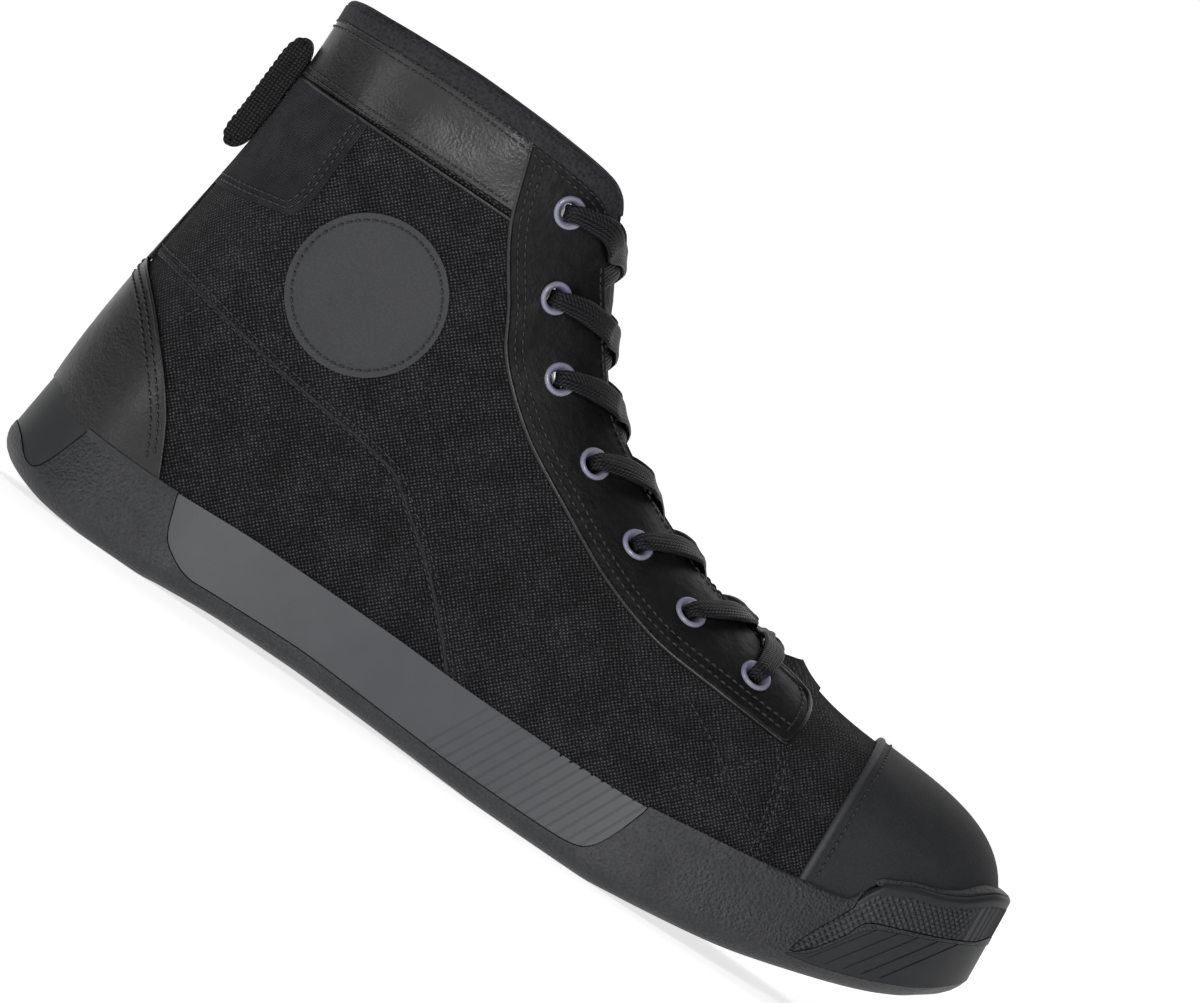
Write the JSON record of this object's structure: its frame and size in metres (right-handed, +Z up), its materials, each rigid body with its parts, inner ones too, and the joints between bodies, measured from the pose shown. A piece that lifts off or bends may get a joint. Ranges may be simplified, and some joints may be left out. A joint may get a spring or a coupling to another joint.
{
  "type": "motorcycle boot",
  "caption": "Ankle-high lace-up riding boot with canvas upper, leather overlays, rubber cupsole and toe bumper.",
  "frame": {"origin": "on the floor under the middle of the sole", "axes": "+X towards the toe, +Z up, -Y the outer side of a right foot"},
  "size_m": [0.3048, 0.107, 0.1638],
  "materials": {
    "canvas": "matte",
    "leather": "satin",
    "cap": "matte",
    "rubber": "matte",
    "insert": "satin",
    "webbing": "matte",
    "eyelet": "gloss",
    "patch": "satin",
    "lining": "matte"
  },
  "bodies": {
    "root": {"upper": "canvas", "cupsole": "rubber", "toe_bumper": "rubber", "heel_bumper": "rubber", "side_panel_outer": "insert", "side_panel_inner": "insert", "insole": "lining", "tongue": "leather", "toe_cap": "cap", "heel_counter": "leather", "collar_band": "leather", "eyestay_outer": "leather", "eyestay_inner": "leather", "ankle_patch": "patch", "heel_strip": "webbing", "pull_loop": "webbing", "lace_bar": "webbing", "lace_cross_1": "webbing", "lace_cross_2": "webbing", "lace_cross_3": "webbing", "lace_cross_4": "webbing", "lace_cross_5": "webbing", "lace_cross_6": "webbing", "eyelet_outer_1": "eyelet", "eyelet_outer_2": "eyelet", "eyelet_outer_3": "eyelet", "eyelet_outer_4": "eyelet", "eyelet_outer_5": "eyelet", "eyelet_outer_6": "eyelet", "eyelet_outer_7": "eyelet", "eyelet_inner_1": "eyelet", "eyelet_inner_2": "eyelet", "eyelet_inner_3": "eyelet", "eyelet_inner_4": "eyelet", "eyelet_inner_5": "eyelet", "eyelet_inner_6": "eyelet", "eyelet_inner_7": "eyelet"}
  },
  "joints": []
}
